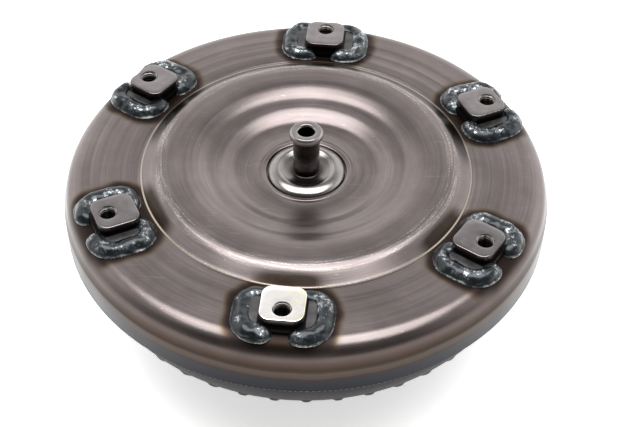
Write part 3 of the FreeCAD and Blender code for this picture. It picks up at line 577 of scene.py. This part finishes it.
def lathe(name, outline, material, segments):
    """Solid turned from a closed section; an outline that meets the axis ends in poles."""
    on_axis = outline[0][0] < ON_AXIS
    turns = np.linspace(0, 2 * math.pi, segments, endpoint=False)
    circle = np.stack([np.cos(turns), np.sin(turns)], 1)
    rows = outline if on_axis else outline + outline[:1]
    vertices, sizes = [], []
    for radius, depth in rows:
        ring = circle * radius if radius > ON_AXIS else np.zeros((1, 2))
        vertices += [(x, y, depth) for x, y in ring]
        sizes.append(len(ring))
    return piece(name, vertices, rings_to_faces(sizes), material)


def stand_in(made, slot, *nodes):
    """The piece is shown instead of these parts of the frame, and moves with their body."""
    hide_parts(*nodes)
    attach(made, "housing")


# ---- geometry trees ---------------------------------------------------------------------------
class Shaping(Net):
    """Geometry tree with named sizes; it ends in Realize Instances and Set Material."""

    def __init__(self, name, sizes):
        tree = bpy.data.node_groups.new(name, "GeometryNodeTree")
        super().__init__(tree)
        tree.interface.new_socket("Geometry", in_out="INPUT", socket_type="NodeSocketGeometry")
        tree.interface.new_socket("Geometry", in_out="OUTPUT", socket_type="NodeSocketGeometry")
        self.sizes = sizes
        for size, value in sizes.items():
            kind = "NodeSocketInt" if isinstance(value, int) else "NodeSocketFloat"
            tree.interface.new_socket(size, in_out="INPUT", socket_type=kind)
        tree.interface.new_socket("Material", in_out="INPUT", socket_type="NodeSocketMaterial")
        self.given = self.node("NodeGroupInput")
        self.locate(self.node("GeometryNodeInputPosition")[0])

    def around(self, geometry, count, first):
        """Copies turned round the axis at even steps."""
        points = self.node("GeometryNodePoints", {}, {"Count": count})[0]
        index = self.node("GeometryNodeInputIndex")[0]
        turn = self.vector(0.0, 0.0, index * (2 * math.pi) / count + first)
        values = {"Points": points, "Instance": geometry, "Rotation": turn}
        copies = self.node("GeometryNodeInstanceOnPoints", {}, values)[0]
        return self.node("GeometryNodeRealizeInstances", {}, {"Geometry": copies})[0]

    def swell(self, geometry, height):
        """Push the surface out along its normal by a height in millimetres."""
        normal = self.node("GeometryNodeInputNormal")[0]
        values = {"Geometry": geometry, "Offset": self.scaled(normal, height * MM)}
        return self.node("GeometryNodeSetPosition", {}, values)[0]

    def run(self, made, geometry, material):
        """Close the tree, run it on a piece and keep the result as the piece's plain mesh."""
        real = self.node("GeometryNodeRealizeInstances", {}, {"Geometry": geometry})[0]
        values = {"Geometry": real, "Material": self.given["Material"]}
        dressed = self.node("GeometryNodeSetMaterial", {}, values)[0]
        self.feed(self.tree.nodes.new("NodeGroupOutput").inputs[0], dressed)
        modifier = made.modifiers.new(self.tree.name, "NODES")
        modifier.node_group = self.tree
        wanted = {**self.sizes, "Material": material}
        for item in self.tree.interface.items_tree:
            if item.in_out == "INPUT" and item.name in wanted:
                modifier[item.identifier] = wanted[item.name]
        return bake(made)


# ---- pieces ---------------------------------------------------------------------------------
def front_cover(material):
    """Pressed cover: pilot's seat, raised centre, flat face with faint rings, round shoulder."""
    centre_r, centre_depth = SHOULDER_CENTRE
    seat = [(PILOT_SEAT_R, 15.2), (22.7, 15.2), (23.5, 15.2), (23.7, 13.2), (24.0, 13.0),
            (25.4, 12.98), (25.9, 12.8), (26.3, 12.98), (27.1, 12.98), (27.6, 12.82),
            (28.1, 13.0), (34.0, 13.0)]
    face = [(97.4, 9.4), (97.9, 9.1), (98.6, FACE_DEPTH)]
    ring_top = FACE_DEPTH - 0.07
    for ring_r in (105.0, 112.5, 121.0):
        face += [(ring_r - 0.7, FACE_DEPTH), (ring_r, ring_top), (ring_r + 0.7, FACE_DEPTH)]
    shoulder = arc(SHOULDER_CENTRE, (SHOULDER_R, SHOULDER_R), first=90, last=8, steps=22)
    wall = [(140.72, 19.8), (141.1, 21.2), (141.45, 22.4), (141.78, 23.4), (RIM_R, 24.4),
            (RIM_R, 31.0), (RIM_R, COVER_END - 0.5), (RIM_R - 0.5, COVER_END)]
    inner_wall = [(WALL_INNER_R, COVER_END), (WALL_INNER_R, 24.0),
                  (centre_r + SHOULDER_R - COVER_T, centre_depth)]
    # The sheet is a hair thinner than the nominal, so that the lining never cuts into it.
    sheet = COVER_T - 0.05
    inner_r = SHOULDER_R - sheet
    back = arc(SHOULDER_CENTRE, (inner_r, inner_r), first=0, last=90, steps=6)
    back += [(99.5, FACE_DEPTH + sheet)]
    back += [(radius, depth + sheet) for radius, depth in reversed(DISH)]
    back += [(PILOT_SEAT_R, DISH[0][1] + COVER_T)]
    centre = curve_through(DISH, steps=7)
    outline = seat + centre + face + shoulder + wall + inner_wall + back
    return lathe("front_cover_pressing", outline, material, segments=420)


def pilot_hub(material):
    """Blind drilled pilot on a shallow bowl that is welded into the cover."""
    top = PILOT_TOP
    drilled = [(0.0, top + 19.6), (PILOT_BORE_R, top + 15.0)]
    head = eased([(PILOT_BORE_R, top + 14.0), (PILOT_BORE_R, top + 1.0), (5.5, top), (8.5, top),
                  (PILOT_HEAD_R, top + 1.2), (PILOT_HEAD_R, top + 3.5), (8.3, top + 5.0),
                  (PILOT_SHAFT_R, top + 5.4), (PILOT_SHAFT_R, 9.0)])[3:-3]
    bowl = curve_through([(PILOT_SHAFT_R, 9.4), (7.72, 11.3), (8.0, 11.9), (8.9, 12.15),
                          (11.2, 12.15), (13.4, 11.75), (15.2, 10.95), (16.7, 10.4),
                          (18.4, 10.6), (20.2, 11.25), (21.6, 12.05), (22.5, 13.0)],
                         steps=6)
    spigot = [(22.8, 13.7), (PILOT_SEAT_R, 13.7), (PILOT_SEAT_R, 17.5), (0.0, 17.5)]
    return lathe("pilot_turning", drilled + head + bowl + spigot, material, segments=192)


def rounded_rectangle(centre_x, length, width, corner, steps=14, spacing=1.2):
    """Evenly spaced points round a rectangle with rounded corners, centred on the X axis."""
    points = []
    for quarter, (sx, sy) in enumerate(((1, 1), (-1, 1), (-1, -1), (1, -1))):
        middle = (centre_x + sx * (length / 2 - corner), sy * (width / 2 - corner))
        for step in range(steps + 1):
            t = math.radians(90 * (quarter + step / steps))
            points.append((middle[0] + corner * math.cos(t), middle[1] + corner * math.sin(t)))
    dense = []
    for a, b in zip(points, points[1:] + points[:1]):
        parts = max(1, round(math.dist(a, b) / spacing))
        dense += [(a[0] + (b[0] - a[0]) * k / parts, a[1] + (b[1] - a[1]) * k / parts)
                  for k in range(parts)]
    return np.array(dense)


def reach(outline, turns):
    """Distance from the hole's axis to an outline in each direction."""
    away = outline - (BOLT_CIRCLE_R, 0)
    found = np.arctan2(away[:, 1], away[:, 0])
    order = np.argsort(found)
    return np.interp(turns, found[order], np.hypot(*away.T)[order], period=2 * math.pi)


def mounting_lugs(material):
    """Lug with a milled pad, a wider foot and a threaded hole; then six round the axis."""
    pad = rounded_rectangle(PAD_CENTRE_R, length=24.0, width=24.0, corner=6.0)
    away = pad - (BOLT_CIRCLE_R, 0)
    turns = np.sort(np.arctan2(away[:, 1], away[:, 0]))
    foot = rounded_rectangle(PAD_CENTRE_R, length=27.0, width=36.0, corner=5.0)
    pad_r = reach(pad, turns)
    foot_r = reach(foot, turns)
    # Rows of distances from the hole's axis: up the thread from its blind end, then out over
    # the pad and down to the foot.
    pole = np.zeros(1)
    hole_end, lug_end = FACE_DEPTH - 0.1, FACE_DEPTH + 0.4
    rows = [(pole, hole_end), (np.full_like(turns, THREAD_CORE_R), hole_end)]
    for depth in np.arange(8.6, 0.7, -THREAD_PITCH / 9):
        phase = (depth / THREAD_PITCH + turns / (2 * math.pi)) % 1.0
        cut = np.clip(1.25 - np.abs(phase - 0.5) * 3.1, 0, 1)
        rows.append((THREAD_CORE_R + (THREAD_R - THREAD_CORE_R) * cut, depth))
    lip_r = HOLE_MOUTH_R + 0.3
    rows += [(np.full_like(turns, radius), depth)
             for radius, depth in ((THREAD_R, 0.4), (HOLE_MOUTH_R - 0.06, 0.12),
                                   (HOLE_MOUTH_R + 0.04, 0.02), (lip_r, 0.0))]
    rows += [(lip_r + (pad_r - 0.75 - lip_r) * share, 0.0) for share in (0.35, 0.7, 1.0)]
    rows += [(pad_r - inset, depth)
             for inset, depth in ((0.45, 0.04), (0.2, 0.16), (0.04, 0.38), (0.0, 0.7),
                                  (0.0, 3.4), (0.25, 4.4), (0.55, 5.1))]
    rows += [(pad_r - 0.5, STEP_DEPTH - 0.1), (pad_r + 0.1, STEP_DEPTH)]
    rows += [(pad_r + (foot_r - pad_r) * share, STEP_DEPTH) for share in (0.5, 0.92)]
    rows += [(foot_r - 0.25, STEP_DEPTH + 0.06), (foot_r, STEP_DEPTH + 0.4), (foot_r, lug_end),
             (pole, lug_end)]
    vertices, sizes = [], []
    for radii, depth in rows:
        way = turns if len(radii) > 1 else pole
        vertices += [(BOLT_CIRCLE_R + r * math.cos(t), r * math.sin(t), depth)
                     for r, t in zip(radii, way)]
        sizes.append(len(radii))
    made = piece("mounting_lug_ring", vertices, rings_to_faces(sizes), material)
    net = Shaping("lugs_round_the_face", {"Count": LUG_COUNT, "First": FIRST_LUG})
    lugs = net.around(net.given["Geometry"], net.given["Count"], net.given["First"])
    return net.run(made, lugs, material)


def bead_route():
    """Middle of the weld round one end of a lug: out, round two corners and back in."""
    outer, inner, side, end = 131.2, 103.2, 22.0, 4.0
    wide, tight = 10.0, 8.0
    points = [(outer - 1.2, end), (outer - 0.3, 8.5), (outer, side - wide)]
    points += [(outer - wide * (1 - math.cos(t)), side - wide * (1 - math.sin(t)))
               for t in np.radians((30, 60, 90))]
    points += [(inner + tight * (1 - math.sin(t)), side - tight * (1 - math.cos(t)))
               for t in np.radians((0, 30, 60, 90))]
    points += [(inner + 0.3, 8.5), (inner + 1.2, end)]
    return np.array(curve_through(points, steps=14))


def bead_section():
    """Section of the weld, as (reach, depth): steep at the lug, long and low to the toe."""
    crown = [(-4.7, WELD_BASE), (-4.7, 6.2), (-4.2, 5.3), (-3.0, 4.6), (-1.2, 4.2), (0.8, 4.4),
             (2.4, 5.3), (3.7, 6.7), (4.6, 8.1), (5.4, 8.9), (5.3, WELD_BASE)]
    return curve_through(crown, steps=3)


def lug_welds(material):
    """Pair of hand laid welds on each lug, rippled and lumpy, no two alike."""
    # One weld is swept along its route, with tips that thin out and sink into the cover.
    route = bead_route()
    ahead = np.gradient(route, axis=0)
    ahead /= np.linalg.norm(ahead, axis=1)[:, None]
    outward = np.stack([ahead[:, 1], -ahead[:, 0]], 1)
    length = np.concatenate([[0], np.cumsum(np.linalg.norm(np.diff(route, axis=0), axis=1))])
    section = bead_section()
    vertices, sizes = [], []
    tip = 7.5
    for place, side, gone in zip(route, outward, length):
        ending = min(gone, length[-1] - gone)
        swell = math.sqrt(max(0.01, 1 - (1 - min(1.0, ending / tip)) ** 2))
        for reach_out, depth in section:
            spot = place + side * (reach_out * (0.3 + 0.7 * swell) - 1.6 * (1 - swell))
            vertices.append((spot[0], spot[1], WELD_BASE - (WELD_BASE - depth) * swell))
        sizes.append(len(section))
    faces = rings_to_faces(sizes)
    faces.append(tuple(range(len(section) - 1, -1, -1)))
    faces.append(tuple(range(len(vertices) - len(section), len(vertices))))
    made = piece("lug_weld_beads_laid", vertices, faces, material)
    sizes = {"Count": LUG_COUNT, "First": FIRST_LUG, "Lumps": 2.2, "Ripples": 0.22}
    net = Shaping("welds_on_each_lug", sizes)
    one = net.given["Geometry"]
    values = {"Geometry": one, "Scale": (1.0, -1.0, 1.0)}
    turned_over = net.node("GeometryNodeTransform", {}, values)[0]
    mirrored = net.node("GeometryNodeFlipFaces", {}, {0: turned_over})[0]
    pair = net.node("GeometryNodeJoinGeometry", {}, {0: [one, mirrored]})[0]
    welds = net.around(pair, net.given["Count"], net.given["First"])
    above = net.depth.rise(7.4, 8.7, 1.0, 0.0) * abs(net.by_lug()[1]).rise(5.0, 10.0)
    lumps = (net.noise(net.place, 0.13, 1.0) - 0.5) * net.given["Lumps"]
    ripples = (net.noise(net.place, 0.4, 1.0, 0.5) - 0.5) * net.given["Ripples"]
    return net.run(made, net.swell(welds, (lumps + ripples) * above), material)


def rippled(made, name, sizes, material, noise_scale, drift, begins, soft):
    """Ripples round a weld, one at every pass of the arc, on the part below a depth."""
    net = Shaping(name, sizes)
    phase = net.angle * net.given["Passes"] + (net.noise(net.place, noise_scale) - 0.5) * drift
    ripple = phase.math("SINE") * net.depth.rise(begins, begins + soft)
    raised = net.swell(net.given["Geometry"], ripple * net.given["Height"])
    return net.run(made, raised, material)


def rim_seam(material):
    """Weld that joins the impeller shell to the cover."""
    inner_r = WALL_INNER_R - 0.4
    outline = [(inner_r, COVER_END - 0.2), (RIM_R - 0.7, COVER_END - 0.1)]
    width, height = 4.0, 3.0
    outline += arc((inner_r, COVER_END), (width, height), first=0, last=-90, steps=9)
    made = lathe("rim_seam_laid", outline, material, segments=1080)
    sizes = {"Passes": 300.0, "Height": 0.22}
    return rippled(made, "seam_ripples", sizes, material,
                   noise_scale=0.08, drift=9.0, begins=COVER_END, soft=0.8)


def impeller_shell(material):
    """Torus pressing with two rows of small outward tabs that hold the blades."""
    centre_r, centre_depth = SHELL_CENTRE
    flange_angle = math.degrees(math.asin((SHELL_FLANGE - centre_depth) / SHELL_HALF[1])) - 180
    inner = (SHELL_HALF[0] - SHELL_T, SHELL_HALF[1] - SHELL_T)
    inner_flange = SHELL_FLANGE - SHELL_T
    inner_angle = math.degrees(math.asin((inner_flange - centre_depth) / inner[1])) - 180
    neck_top = 34.0
    outline = eased([(WALL_INNER_R - SHELL_T, neck_top), (WALL_INNER_R, neck_top),
                     (WALL_INNER_R, COVER_END + 0.5), (133.7, 45.5)])[:-2]
    outline += arc(SHELL_CENTRE, SHELL_HALF, first=0, last=flange_angle, steps=70)
    outline += [(HUB_FLANGE_R, SHELL_FLANGE), (HUB_FLANGE_R, inner_flange)]
    outline += arc(SHELL_CENTRE, inner, first=inner_angle, last=0, steps=10)
    made = lathe("impeller_shell_pressing", outline, material, segments=900)
    # The rows are set by their angle round the section, in degrees below its widest place.
    sizes = {"Count": 45.0, "Height": 0.95, "Outer Row": 36.0, "Inner Row": 74.0}
    net = Shaping("blade_tabs", sizes)
    turn = (net.angle * net.given["Count"] / (2 * math.pi)).math("FRACT") - 0.5
    across = abs(turn) * net.radius * (2 * math.pi) / net.given["Count"]
    down = (net.depth - centre_depth) / SHELL_HALF[1]
    out = (net.radius - centre_r) / SHELL_HALF[0]
    section = down.math("ARCTAN2", out) * (180 / math.pi)
    outer_row = section.band(net.given["Outer Row"], 4.0, 4.0)
    row = outer_row.most(section.band(net.given["Inner Row"], 4.0, 4.0))
    outside = (down * down + out * out).rise(0.9, 0.96)
    half_top, half_foot = 1.2, 3.2
    tab = across.rise(half_top, half_foot, 1.0, 0.0) * row * outside
    raised = net.swell(net.given["Geometry"], tab * net.given["Height"])
    return net.run(made, raised, material)


def impeller_hub(material):
    """Flange and ground sleeve, with two slots in its free end that drive the oil pump."""
    flange_top = SHELL_FLANGE - SHELL_T
    root = 3.0
    outline = eased([(HUB_BORE_R, flange_top), (HUB_FLANGE_R, flange_top),
                     (HUB_FLANGE_R, HUB_FLANGE_END), (28.5, HUB_FLANGE_END)])[:-2]
    root_centre = (HUB_SLEEVE_R + root, HUB_FLANGE_END + root)
    outline += arc(root_centre, (root, root), first=90, last=180, steps=8)
    outline += eased([(HUB_SLEEVE_R, 80.0), (HUB_SLEEVE_R, HUB_END - 1.0),
                      (HUB_SLEEVE_R - 1.0, HUB_END), (HUB_BORE_R + 0.6, HUB_END),
                      (HUB_BORE_R, HUB_END - 0.6), (HUB_BORE_R, 90.0)], fillet=0.2)[3:-3]
    made = lathe("impeller_hub_turning", outline, material, segments=240)
    # The cutter stands on the origin, so half of its height goes into the sleeve.
    slot_size = (0.2, 0.01, 0.018, 1.0)
    slot = bpy.data.meshes.new("slot_cutter")
    work = bmesh.new()
    bmesh.ops.create_cube(work, size=1.0, matrix=Matrix.Diagonal(slot_size))
    work.to_mesh(slot)
    work.free()
    cutter = bpy.data.objects.new("slot_cutter", slot)
    bpy.context.scene.collection.objects.link(cutter)
    cut = made.modifiers.new("slots", "BOOLEAN")
    cut.operation = "DIFFERENCE"
    cut.object = cutter
    bake(made)
    bpy.data.objects.remove(cutter)
    return made


def hub_weld(material):
    """Fillet weld between the shell and the hub flange."""
    inner_r, toe_r = HUB_FLANGE_R - 0.3, HUB_FLANGE_R + 4.0
    outline = [(inner_r, SHELL_FLANGE - 0.2), (toe_r, SHELL_FLANGE - 0.2)]
    outline += curve_through([(toe_r, SHELL_FLANGE), (HUB_FLANGE_R + 2.4, SHELL_FLANGE + 1.5),
                              (HUB_FLANGE_R + 0.2, HUB_FLANGE_END)], steps=5)
    outline += [(inner_r, HUB_FLANGE_END)]
    made = lathe("hub_weld_laid", outline, material, segments=540)
    sizes = {"Passes": 120.0, "Height": 0.16}
    return rippled(made, "hub_weld_ripples", sizes, material,
                   noise_scale=0.1, drift=7.0, begins=SHELL_FLANGE, soft=0.6)


steel = pressed_steel()
weld = seam_weld()
stand_in(front_cover(steel), "pressed_steel", "front_cover")
stand_in(pilot_hub(turned_steel()), "turned_steel", "pilot_hub")
stand_in(mounting_lugs(lug_steel()), "lug_steel", "mounting_lugs")
stand_in(lug_welds(lug_weld()), "lug_weld", "lug_weld_beads")
stand_in(rim_seam(weld), "seam_weld", "rim_seam_weld")
stand_in(impeller_shell(shell_steel()), "shell_steel", "impeller_shell")
stand_in(impeller_hub(ground_hub()), "ground_hub", "impeller_hub")
stand_in(hub_weld(weld), "seam_weld", "impeller_hub_weld")

# Inner pieces keep the frame's own meshes and take a finish by the slot of their node.
# Each row: name, dark tone, light tone, roughness, pattern, relief, and metallic if it isn't 1.
INNER_LOOKS = {
    "blade_steel": ("brazed_blade_steel", (0.3, 0.25, 0.2), (0.48, 0.42, 0.36),
                    0.3, "lines", 0.02),
    "bearing_steel": ("ground_bearing_steel", (0.5, 0.5, 0.5), (0.66, 0.66, 0.65),
                      0.14, "rings", 0.008),
    "stamped_steel": ("stamped_plate_steel", (0.28, 0.27, 0.26), (0.44, 0.43, 0.42),
                      0.3, "grain", 0.03),
    "forged_steel": ("forged_hub_steel", (0.24, 0.235, 0.235), (0.42, 0.41, 0.4),
                     0.26, "rings", 0.02),
    "spring_steel": ("oiled_spring_steel", (0.1, 0.1, 0.11), (0.2, 0.2, 0.22),
                     0.24, "lines", 0.01),
    "washer_polymer": ("washer_polymer", (0.045, 0.04, 0.035), (0.1, 0.09, 0.075),
                       0.45, "grain", 0.02, 0.0),
    "seal_polymer": ("seal_ring_polymer", (0.02, 0.02, 0.022), (0.05, 0.05, 0.055),
                     0.4, "rings", 0.02, 0.0),
    "friction_paper": ("friction_paper", (0.1, 0.062, 0.035), (0.22, 0.15, 0.095),
                       0.75, "grain", 0.12, 0.0),
    "cast_aluminium": ("cast_aluminium", (0.42, 0.43, 0.44), (0.62, 0.63, 0.64),
                       0.36, "grain", 0.08),
}
INNER = {slot: inner_finish(*look) for slot, look in INNER_LOOKS.items()}
SLOT_OF = {part["node"]: part["material_slot"] for part in frame["record"]["subparts"]}
for name, node in frame["nodes"].items():
    if SLOT_OF[name] in INNER:
        node.data.materials.clear()
        node.data.materials.append(INNER[SLOT_OF[name]])


# ---- floor, light and camera ---------------------------------------------------------------------
def floor():
    """Plain pale ground under the hub's end; it glows a little, so shadows stay faint."""
    f = Finish("pale_floor", metallic=0.0)
    cloud = f.noise(f.place, 0.002, 2.0)
    f.shader.inputs["Emission Color"].default_value = (1.0, 1.0, 1.0, 1.0)
    f.shader.inputs["Emission Strength"].default_value = 0.5
    pale = f.ramp(cloud, [(0.3, (0.9, 0.9, 0.9)), (0.7, (0.93, 0.93, 0.93))])
    half = 4000
    corners = [(x * half, y * half, PAD_Z) for x, y in ((-1, -1), (1, -1), (1, 1), (-1, 1))]
    made = piece("floor", corners, [(0, 1, 2, 3)], f.done(pale, 0.8))


def softbox(name, middle, size, aim, power):
    """Rectangular light that faces a point, with places and sizes in metres."""
    light = bpy.data.lights.new(name, "AREA")
    light.shape = "RECTANGLE"
    light.size, light.size_y = size
    light.energy = power
    made = bpy.data.objects.new(name, light)
    made.location = middle
    made.rotation_euler = (Vector(aim) - Vector(middle)).to_track_quat("-Z", "Y").to_euler()
    bpy.context.scene.collection.objects.link(made)


def surroundings():
    """Studio that is brighter behind the part than in front of it."""
    world = bpy.data.worlds.new("studio")
    bpy.context.scene.world = world
    world.use_nodes = True
    world.node_tree.nodes.clear()
    net = Net(world.node_tree)
    across, back, up = net.split(net.node("ShaderNodeTexCoord")["Generated"])
    behind = back.rise(-0.6, 0.4) * up.rise(0.56, 0.8, 1.85, 0.25)
    level = behind + abs(across).rise(0.5, 1.0, 0.15, 0.4)
    values = {"Color": (1.0, 0.99, 0.985), "Strength": level}
    light = net.node("ShaderNodeBackground", {}, values)[0]
    net.node("ShaderNodeOutputWorld", {}, {"Surface": light})


def camera():
    """Stands in front and above, as far off as makes the part fill the frame."""
    lens, distance = 73.2, 0.7191
    elevation, roll, heading = 44.704, 0.697, 5.0794
    aim = (0.00831, -0.04947, PAD_Z * MM)
    made = bpy.data.objects.new("camera", bpy.data.cameras.new("camera"))
    made.data.lens = lens
    made.data.sensor_width = 36.0
    made.data.clip_end = 50.0
    turn = Matrix.Rotation(math.radians(heading), 4, "Z")
    tilt = Matrix.Rotation(math.radians(90 - elevation), 4, "X")
    spin = Matrix.Rotation(math.radians(roll), 4, "Z")
    away = Matrix.Translation((0, 0, distance))
    made.matrix_world = turn @ Matrix.Translation(aim) @ tilt @ spin @ away
    bpy.context.scene.collection.objects.link(made)
    bpy.context.scene.camera = made


floor()
softbox("overhead_softbox", middle=(0.0, -0.08, 1.32), size=(1.6, 0.9), aim=(0.0, -0.08, 0.0),
        power=32.0)
surroundings()
camera()
bpy.context.scene.view_settings.view_transform = "Standard"
